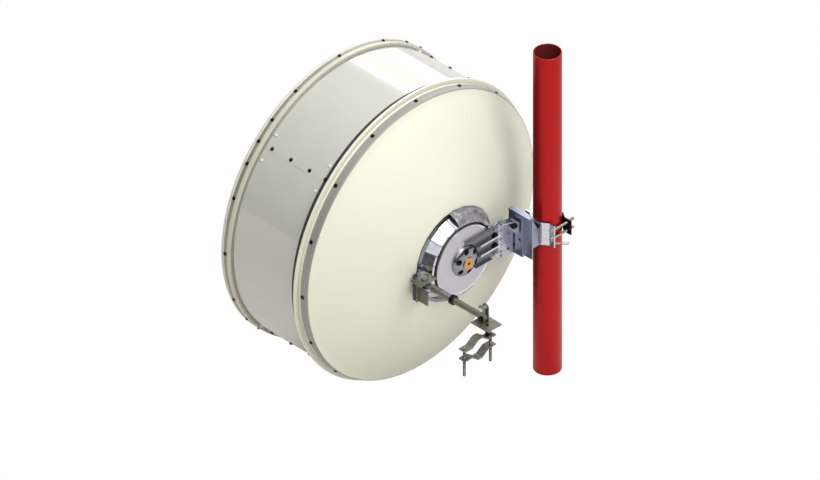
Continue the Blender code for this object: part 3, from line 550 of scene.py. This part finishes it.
def make_rim_fasteners():
    """Screws of the reflector's rim band and of the front flange, with more screws beside each seam."""
    pitch = radians(22.5)
    bm = bmesh.new()
    for i in range(16):
        at = radial(i * pitch, RIM_R + 0.0008, -0.3300)
        washer(bm, 0.0088, 0.0, 0.001, at)
        hexagon_block(bm, 0.0072, 0.001, 0.0048, at)
    piece("skirt_screws", bm, BLACK_OXIDE, "dish", "dark_bolts")
    bm = bmesh.new()
    beside = radians(9)
    places = [i * pitch for i in range(16)]
    places += [radians(45 + 90 * i) + side * beside for i in range(4) for side in (-1, 1)]
    for angle in places:
        at = radial(angle, FRONT_R - 0.001, (HOOP_BACK + LIP_BACK) / 2)
        washer(bm, 0.0075, 0.0, 0.0008, at)
        hexagon_block(bm, 0.0066, 0.0008, 0.0050, at)
    piece("hoop_screws", bm, BLACK_OXIDE, "dish", "dark_bolts")


make_bowl()
make_drum()
make_rim_fasteners()


# ---------------------------------------------------------------- hub and feed

def make_hub_ring():
    """The faceted ring: one bent, polished plate a facet, a groove between each two, and the strut's lug."""
    facet = cos(pi / HUB_FACETS)

    def seat(radius):
        return dish_back(radius * facet) + 2 * GAP

    body = [(0.160, -0.0715), (0.168, -0.0735), (0.1925, -0.1130), (HUB_RING_R, -0.1190),
            (HUB_RING_R, seat(HUB_RING_R)), (0.186, seat(0.186)), (0.163, -0.0785), (0.160, -0.0785)]
    bm = bmesh.new()
    lathe(bm, body, HUB_FACETS, DISH)
    lug_low, lug_high = (AXIS_X + 0.172, -0.1150, AXIS_Z - 0.098), (AXIS_X + 0.2335, -0.0880, AXIS_Z + 0.017)
    corners = [(lug_low[0], lug_low[1]), (lug_high[0], lug_low[1]), (lug_high[0], lug_high[1]),
               (lug_low[0], lug_high[1])]
    prism(bm, rounded(corners, 0.002), lug_low[2], lug_high[2], upright(0, 0, 0))
    piece("hub_ring_body", bm, BOSS_ZINC, "dish", "bright_zinc", "hub_ring", angle=5)
    bm = bmesh.new()
    margin = radians(0.9)
    step = 2 * pi / HUB_FACETS
    plate = [(0.1605, -0.0705), (0.1685, -0.0725), (0.1932, -0.1120), (0.1926, -0.1131), (0.1681, -0.0734),
             (0.1605, -0.0714)]
    for i in range(HUB_FACETS):
        lathe(bm, plate, 1, DISH, start=i * step + margin, sweep=step - 2 * margin)
    piece("hub_ring_facets", bm, BRIGHT_ZINC, "dish", "bright_zinc", angle=5)
    bm = bmesh.new()
    # The lobe on one sector of the ring: its mottled finish is a painted reflection
    outer = [(0.162 + 0.046 * sin(a), -0.118 + 0.053 * cos(a)) for a in (radians(d) for d in range(0, 91, 9))]
    inner = [(r - 0.002, y - 0.003) for r, y in outer[::-1]]
    lathe(bm, outer + inner, 28, DISH, start=radians(-136), sweep=radians(54))
    piece("hub_ring_lobe", bm, LOBE_MOTTLE_REFLECTION, "dish", "bright_zinc")


def make_hub_disc():
    """A bright plate on its neck, and the satin disc that lies on it a little off its middle."""
    plate_back = HUB_FACE - 0.008
    turned("hub_back_plate", [(HUB_PLATE_R, HUB_FACE - 0.0012), (HUB_PLATE_R, plate_back), (HUB_NECK_R, plate_back),
                              (HUB_NECK_R, DISH_FLAT + GAP), (HUB_BORE_R, DISH_FLAT + GAP),
                              (HUB_BORE_R, HUB_FACE - 0.0012)],
           BRIGHT_ZINC, "dish", "hub_plate_zinc", DISH, "hub_plate", steps=128, edge=0.0012)
    disc_r, off = 0.1435, 0.0055
    turned("hub_satin_disc", [(disc_r, 0.0), (disc_r, -0.0011), (HUB_BORE_R, -0.0011), (HUB_BORE_R, 0.0)],
           SATIN_ZINC, "dish", "hub_plate_zinc", along_y(AXIS_X + off, HUB_FACE, AXIS_Z + off), steps=128,
           edge=0.0005)
    turned("hub_gasket", [(HUB_PLATE_R + 0.0012, HUB_FACE - 0.0016), (HUB_PLATE_R + 0.0012, plate_back - 0.004),
                          (HUB_NECK_R + 0.002, plate_back - 0.004), (HUB_NECK_R + 0.002, plate_back - 0.0006),
                          (HUB_PLATE_R + 0.0002, plate_back - 0.0006), (HUB_PLATE_R + 0.0002, HUB_FACE - 0.0016)],
           WEATHERED_ZINC, "dish", "dark_bolts", DISH, steps=128, edge=0.0004)


def make_feed():
    """The domed boss with six sunk screws, and the brass waveguide flange."""
    base, top = HUB_FACE + GAP, FEED_FACE - 0.004
    dome_r, dome_h = BOSS_R - BOSS_FLAT_R, top - base
    dome = [(BOSS_FLAT_R + dome_r * sin(a), base + dome_h * cos(a))
            for a in (radians(d) for d in range(0, 80, 8))]
    bm = bmesh.new()
    lathe(bm, [(0.0, top)] + dome + [(BOSS_R, base + 0.004), (BOSS_R, base), (0.0, base)], 96, DISH)
    boss = piece("feed_boss_dome", bm, BOSS_ZINC, "dish", "bright_zinc", "feed_boss", angle=40)
    bm = bmesh.new()
    sockets = bmesh.new()
    for i in range(6):
        angle = radians(21 + 60 * i)
        at = along_y(AXIS_X + 0.050 * cos(angle), base + 0.005, AXIS_Z + 0.050 * sin(angle))
        lathe(bm, [(0.0, 0.03), (0.0125, 0.03), (0.0125, 0.0), (0.0, 0.0)], 32, at)
        lathe(sockets, [(0.0, 0.0022), (0.0046, 0.0022), (0.0048, 0.0070), (0.0098, 0.0070), (0.0104, 0.0064),
                        (0.0104, 0.0010), (0.0122, 0.0010), (0.0122, 0.0001), (0.0, 0.0001)], 24, at)
    port_z = AXIS_Z - FEED_DROP
    lathe(bm, [(0.0, 0.06), (0.008, 0.06), (0.008, -0.02), (0.0, -0.02)], 32, along_y(AXIS_X, base, port_z))
    cut_away(boss, bm)
    piece("boss_socket_screws", sockets, BLACK_OXIDE, "dish", "dark_bolts")
    flange_at = along_y(AXIS_X, 0.0, port_z)
    turned("feed_flange_brass", [(FEED_R, FEED_FACE), (FEED_R, top + GAP), (FEED_PORT_R, top + GAP),
                                 (FEED_PORT_R, FEED_FACE)], TURNED_BRASS, "dish", "brass", flange_at,
           "feed_flange", steps=64, edge=0.0006)
    bm = bmesh.new()
    for i in range(4):
        angle = radians(45 + 90 * i)
        dome_head(bm, along_y(AXIS_X + 0.019 * cos(angle), FEED_FACE - 0.0008, port_z + 0.019 * sin(angle)),
                  0.0024, 0.0007)
    piece("flange_screws", bm, BLACK_OXIDE, "dish", "dark_bolts")


def cut_away(obj, bm):
    """Take the mesh out of the piece, for good."""
    bmesh.ops.recalc_face_normals(bm, faces=bm.faces)
    mesh = bpy.data.meshes.new("cutter")
    bm.to_mesh(mesh)
    bm.free()
    cutter = bpy.data.objects.new("cutter", mesh)
    bpy.context.scene.collection.objects.link(cutter)
    cut = obj.modifiers.new("holes", "BOOLEAN")
    cut.operation = "DIFFERENCE"
    cut.solver = "EXACT"
    cut.object = cutter
    bpy.context.view_layer.update()
    result = bpy.data.meshes.new_from_object(obj.evaluated_get(bpy.context.evaluated_depsgraph_get()))
    obj.modifiers.clear()
    finish = obj.data.materials[0]
    obj.data = result
    result.materials.clear()
    result.materials.append(finish)
    result.shade_smooth()
    result.set_sharp_from_angle(angle=radians(40))
    bpy.data.objects.remove(cutter, do_unlink=True)


make_hub_ring()
make_hub_disc()
make_feed()


# ---------------------------------------------------------------- arm, brackets and mast clamp

for channel in ("upper", "middle", "lower"):
    soften("arm_channel_" + channel, GALVANISED_CHANNEL, 0.0008)
soften("arm_end_bracket", BRACKET_ZINC)


def make_channel_lips():
    """Bright rolled lips along the two joints between the channels."""
    front = HUB_FACE + GAP + 0.016
    start, end = AXIS_X - 0.072, 0.216
    bm = bmesh.new()
    for z in (0.6945 + 0.0235, 0.6945 - 0.0235):
        lip = [(-front - 0.0016, z - 0.0042), (-front - 0.0016, z + 0.0042), (-front - GAP, z + 0.0042),
               (-front - GAP, z - 0.0042)]
        at = Matrix(((0, 0, 1, 0), (-1, 0, 0, 0), (0, 1, 0, 0), (0, 0, 0, 1)))
        prism(bm, rounded(lip, 0.0006), end, start, at)
    piece("channel_lips", bm, BRIGHT_ZINC, "dish", "channel_zinc")


make_channel_lips()
soften("tilt_bracket", BLUE_ZINC)
soften("inner_saddle", BRIGHT_ZINC)
soften("outer_saddle", DARK_STEEL)

WEB_FACE = HUB_FACE + GAP + 0.003
for level, z in (("upper", 0.7180), ("lower", 0.6710)):
    bolt("arm_hex_bolt_" + level, "arm_bolt_" + level, "dish", BLACK_OXIDE, "dark_bolts",
         along_y(0.236, WEB_FACE + GAP, z), 0.0075, 0.0155, 0.009, -0.0105)


def make_small_bolts():
    """Small bolts of the arm's end: dark ones on the channels' webs, pale ones on the bracket's leg."""
    dark = bmesh.new()
    for z in (0.7495, 0.6365):
        at = along_y(0.236, WEB_FACE, z)
        washer(dark, 0.0092, 0.0, 0.0012, at)
        hexagon_block(dark, 0.0082, 0.0012, 0.0075, at)
    piece("arm_small_bolts", dark, BLUE_ZINC, "dish", "dark_bolts", angle=25)
    pale = bmesh.new()
    leg_face = HUB_FACE - GAP
    for x, z in ((0.1955, 0.7208), (0.1955, 0.682), (0.1955, 0.650), (0.1955, 0.620), (0.1955, 0.600),
                 (0.1535, 0.7191)):
        at = along_y(x, leg_face, z)
        washer(pale, 0.0066, 0.0, 0.001, at)
        hexagon_block(pale, 0.0056, 0.001, 0.0058, at)
    piece("leg_bolts", pale, ROD_ZINC, "dish", "pale_bolts", angle=25)
    plug = [(0.0, 0.0012), (0.0050, 0.0012), (0.0057, 0.0006), (0.0057, -0.004), (0.0, -0.004)]
    leg_plug = bmesh.new()
    lathe(leg_plug, plug, 24, along_y(0.1586, leg_face, 0.616))
    piece("leg_plug", leg_plug, BLACK_OXIDE, "dish", "dark_bolts")
    plugs = bmesh.new()
    for y, z in ((-0.060, 0.616), (-0.029, 0.659)):
        lathe(plugs, plug, 24, along_x(0.125, y, z))
    piece("tilt_lock_plugs", plugs, BLACK_OXIDE, "mast_mount", "dark_bolts")


make_small_bolts()
bolt("pivot_hex_bolt", "pivot_bolt", "mast_mount", DARK_STEEL, "dark_bolts", along_x(0.138, -0.047, 0.7215),
     0.008, 0.0115, 0.010, -0.036, nuts=((-0.0193, -0.0273),))
for side, y in (("front", -0.0645), ("rear", 0.0645)):
    for level, z in (("lower", 0.6665), ("upper", 0.7060)):
        bolt(f"clamp_rod_{side}_{level}", f"clamp_bolt_{side}_{level}", "mast_mount", ROD_ZINC, "pale_bolts",
             along_x(0.0433, y, z), 0.0055, 0.009, 0.006, -0.1233, nuts=((-0.0896, -0.0976),))


def make_azimuth_screw():
    """The level screw with its plain grey end."""
    heading = Matrix.Rotation(radians(135), 4, "Z") @ Matrix.Rotation(radians(90), 4, "Y")
    at = Matrix.Translation((0.037 - GAP - 0.0045 * cos(pi / 4), 0.0687, 0.644)) @ heading
    bm = bmesh.new()
    thread(bm, 0.0045, 0.0, 0.0335, at, pitch=0.00125)
    lathe(bm, [(0.0, 0.060), (0.0052, 0.060), (0.0062, 0.0588), (0.0062, 0.0332), (0.0052, 0.032), (0.0, 0.032)],
          32, at)
    piece("azimuth_screw_rod", bm, ROD_ZINC, "mast_mount", "pale_bolts", "azimuth_screw")


make_azimuth_screw()


# ---------------------------------------------------------------- side strut

soften("strut_bracket", WEATHERED_ZINC)
soften("end_plate", WEATHERED_ZINC)
soften("strut_saddle_upper", WEATHERED_ZINC)
soften("strut_saddle_lower", WEATHERED_ZINC)

STRUT = along_y(STRUT_X, 0.0, STRUT_Z)


def make_strut_tube():
    """The tube, its end pressed flat into a tongue with a round end."""
    bore = ROD_R + 0.0008
    bm = bmesh.new()
    lathe(bm, [(0.0, 0.0), (bore, 0.0), (bore, TUBE_END), (TUBE_R - 0.0003, TUBE_END), (TUBE_R, TUBE_END - 0.0006),
               (TUBE_R, TUBE_START + 0.003), (TUBE_R - 0.003, TUBE_START), (0.0, TUBE_START)], 64, STRUT)
    half = 0.013
    tongue = [(half, TUBE_START + 0.004), (-half, TUBE_START + 0.004)]
    tongue += [(-half * cos(a), SWIVEL_Y - 0.003 - half * sin(a)) for a in (pi * i / 12 for i in range(13))]
    prism(bm, tongue, STRUT_Z - 0.004, STRUT_Z + 0.004, upright(STRUT_X, 0.0, 0.0))
    piece("strut_tube_pressed", bm, WEATHERED_ZINC, "strut", "galvanised", "strut_tube")


make_strut_tube()
turned("strut_clamp_collar", [(0.0205, TUBE_END + 0.004), (0.0205, TUBE_END - 0.012),
                              (TUBE_R + GAP, TUBE_END - 0.012), (TUBE_R + GAP, TUBE_END + 0.004)],
       BLACK_OXIDE, "strut", "dark_bolts", STRUT, "strut_collar", steps=64, edge=0.001)
turned("strut_rod_bar", [(0.0, EYE_Y - EYE_R - GAP), (0.0074, EYE_Y - EYE_R - GAP), (0.0074, 0.2545),
                         (0.0125, 0.2545), (0.013, 0.2538), (0.013, 0.045), (0.0, 0.045)],
       WEATHERED_ZINC, "strut_end", "galvanised", STRUT, "strut_rod", steps=64)
turned("rod_eye_ring", [(EYE_R, 0.008), (EYE_R, -0.008), (0.0083, -0.008), (0.0083, 0.008)], WEATHERED_ZINC,
       "strut_end", "galvanised", along_x(STRUT_X, EYE_Y, STRUT_Z), "rod_eye", steps=64, edge=0.0012)
bolt("swivel_hex_bolt", "swivel_bolt", "dish", WEATHERED_ZINC, "dark_bolts", upright(STRUT_X, SWIVEL_Y, 0.7043),
     0.0075, 0.0125, 0.008, -0.046, nuts=((-0.0326, -0.0406),))
bolt("eye_hex_bolt", "eye_bolt", "strut_end", BLACK_OXIDE, "dark_bolts",
     along_x(STRUT_X + EAR_FACE, EYE_Y, STRUT_Z), 0.0075, 0.0115, 0.006, -0.0332, nuts=((-0.0272, -0.0322),))
bolt("clevis_hex_bolt", "clevis_bolt", "strut_end", BRIGHT_ZINC, "bright_zinc",
     along_x(STRUT_X + EAR_FACE, EYE_Y, CLEVIS_TOP_Z), 0.0075, 0.0115, 0.006, -0.0332,
     nuts=((-0.0272, -0.0322),))
for side, x in (("inner", CLAMP_X - 0.072), ("outer", CLAMP_X + 0.072)):
    bolt("strut_clamp_hex_bolt_" + side, "strut_clamp_bolt_" + side, "strut_end", WEATHERED_ZINC, "galvanised",
         upright(x, CLAMP_Y, CLAMP_UP_Z + GAP), 0.006, 0.009, 0.006, -0.1293, nuts=((-0.0516, -0.0596),))


def make_post():
    """The stud that carries the strut clamp: flush in the end plate, with nuts below it."""
    at = upright(POST_X, CLAMP_Y, 0.0)
    bm = bmesh.new()
    thread(bm, 0.007, END_PLATE_LOW - 0.0063, END_PLATE_TOP, at)
    hexagon_block(bm, 0.009, END_PLATE_LOW - 0.0063, END_PLATE_LOW - GAP, at)
    thread(bm, 0.0075, CLAMP_UP_Z + GAP, END_PLATE_LOW - 0.0063, at)
    thread(bm, 0.0058, CLAMP_UP_Z - 0.0113, CLAMP_UP_Z + GAP, at)
    hexagon_block(bm, 0.0085, CLAMP_UP_Z - 0.0113, CLAMP_UP_Z - 0.0063, at)
    piece("clamp_post_stud", bm, BLACK_OXIDE, "strut_end", "dark_bolts", "clamp_post", angle=25)


make_post()


# ---------------------------------------------------------------- floor, light and camera

def make_floor():
    """A plain white studio floor: paper white to the camera, pale to the light that it bounces."""
    made, tree, shader, place = new_finish("white_studio_floor", Roughness=0.9, Specular_IOR_Level=0.1)
    cloud = add(tree, "ShaderNodeTexNoise", {"Vector": place, "Scale": mm(900), "Detail": 2.0})
    mixed = add(tree, "ShaderNodeMix", {0: cloud.outputs["Fac"], 6: linear("#E7E2E0"), 7: linear("#E3DEDC")},
                data_type="RGBA")
    tree.links.new(mixed.outputs[2], shader.inputs["Base Color"])
    paper = add(tree, "ShaderNodeEmission", {"Color": grey(1.0)})
    path = add(tree, "ShaderNodeLightPath", {})
    both = add(tree, "ShaderNodeMixShader", {0: path.outputs["Is Camera Ray"], 1: shader.outputs[0],
                                             2: paper.outputs[0]})
    tree.links.new(both.outputs[0], tree.nodes["Material Output"].inputs["Surface"])
    half = 12.0
    mesh = bpy.data.meshes.new("studio_floor")
    mesh.from_pydata([(-half, -half, -0.001), (half, -half, -0.001), (half, half, -0.001), (-half, half, -0.001)],
                     [], [(0, 1, 2, 3)])
    mesh.materials.append(made)
    floor = bpy.data.objects.new("studio_floor", mesh)
    bpy.context.scene.collection.objects.link(floor)


def make_room():
    """A white room to the camera. Its light is dim and faintly green at the horizon, brighter overhead
    and dark towards one wall. A wide soft window lies high up behind the camera, a brighter one low down
    on the other side of the dish."""
    world = bpy.data.worlds.new("studio_room")
    bpy.context.scene.world = world
    world.use_nodes = True
    tree = world.node_tree
    place = add(tree, "ShaderNodeTexCoord", {}).outputs["Generated"]
    apart = add(tree, "ShaderNodeSeparateXYZ", {"Vector": place})
    height = add(tree, "ShaderNodeValToRGB", {"Fac": apart.outputs["Z"]},
                 stops=((0.02, (0.08, 0.095, 0.075, 1.0)), (0.45, (0.29, 0.30, 0.28, 1.0)),
                        (0.95, (1.3, 1.32, 1.3, 1.0))))
    across = add(tree, "ShaderNodeVectorMath", {0: place, 1: (0.707, -0.707, 0.0)}, operation="DOT_PRODUCT")
    wall = add(tree, "ShaderNodeValToRGB", {"Fac": across.outputs["Value"]},
               stops=((0.1, grey(1.0)), (0.5, grey(0.6))))
    light = add(tree, "ShaderNodeMix", {0: 1.0, 6: height.outputs["Color"], 7: wall.outputs["Color"]},
                data_type="RGBA", blend_type="MULTIPLY").outputs[2]
    for toward, edge, power in (((0.3, 0.5, 0.8), 0.79, 0.8), ((-0.79, -0.58, 0.2), 0.90, 1.7)):
        near = add(tree, "ShaderNodeVectorMath", {0: place, 1: Vector(toward).normalized()},
                   operation="DOT_PRODUCT")
        window = add(tree, "ShaderNodeValToRGB", {"Fac": near.outputs["Value"]},
                     stops=((edge, grey(0.0)), (edge + 0.05, grey(power))))
        light = add(tree, "ShaderNodeMix", {0: 1.0, 6: light, 7: window.outputs["Color"]},
                    data_type="RGBA", blend_type="ADD").outputs[2]
    path = add(tree, "ShaderNodeLightPath", {})
    seen = add(tree, "ShaderNodeMix", {0: path.outputs["Is Camera Ray"], 6: light, 7: grey(1.0)},
               data_type="RGBA")
    tree.links.new(seen.outputs[2], tree.nodes["Background"].inputs["Color"])
    tree.nodes["Background"].inputs["Strength"].default_value = 1.0


def softbox(name, towards, distance, size, power):
    """An area light that stands off in a direction, faces the dish and has one side along Y."""
    lamp = bpy.data.lights.new(name, "AREA")
    lamp.shape = "RECTANGLE"
    lamp.size, lamp.size_y = size
    lamp.energy = power
    made = bpy.data.objects.new(name, lamp)
    bpy.context.scene.collection.objects.link(made)
    away = Vector(towards).normalized()
    side = Vector((0.0, 1.0, 0.0)).cross(away).normalized()
    turn = Matrix((side, away.cross(side), away)).transposed().to_4x4()
    made.matrix_world = Matrix.Translation(Vector((0.35, -0.45, 0.9)) + away * distance) @ turn


make_floor()
make_room()
softbox("key_softbox", (0.0, 0.62, 0.78), 4.0, (1.2, 1.2), 50.0)
softbox("strip_softbox", (-0.611, -0.577, 0.541), 6.0, (0.6, 4.0), 30.0)

# The photograph is a parallel view down the (1, 1, 1) diagonal, 256 pixels to the metre
PIXELS_PER_METRE = 256.0
BACK = Vector((1.0, 1.0, 1.0)).normalized()
RIGHT = Vector((-1.0, 1.0, 0.0)).normalized()
UP = BACK.cross(RIGHT)
ORIGIN_PX = (547.5, 367.3)    # where the mast's foot lies in the 820 by 480 picture
camera_data = bpy.data.cameras.new("photo_camera")
camera_data.type = "ORTHO"
camera_data.ortho_scale = 820 / PIXELS_PER_METRE
camera = bpy.data.objects.new("photo_camera", camera_data)
bpy.context.scene.collection.objects.link(camera)
centre = RIGHT * (410 - ORIGIN_PX[0]) / PIXELS_PER_METRE + UP * (ORIGIN_PX[1] - 240) / PIXELS_PER_METRE
pose = Matrix((RIGHT, UP, BACK)).transposed().to_4x4()
pose.translation = centre + BACK * 8.0
camera.matrix_world = pose
bpy.context.scene.camera = camera
bpy.context.scene.view_settings.view_transform = "Standard"
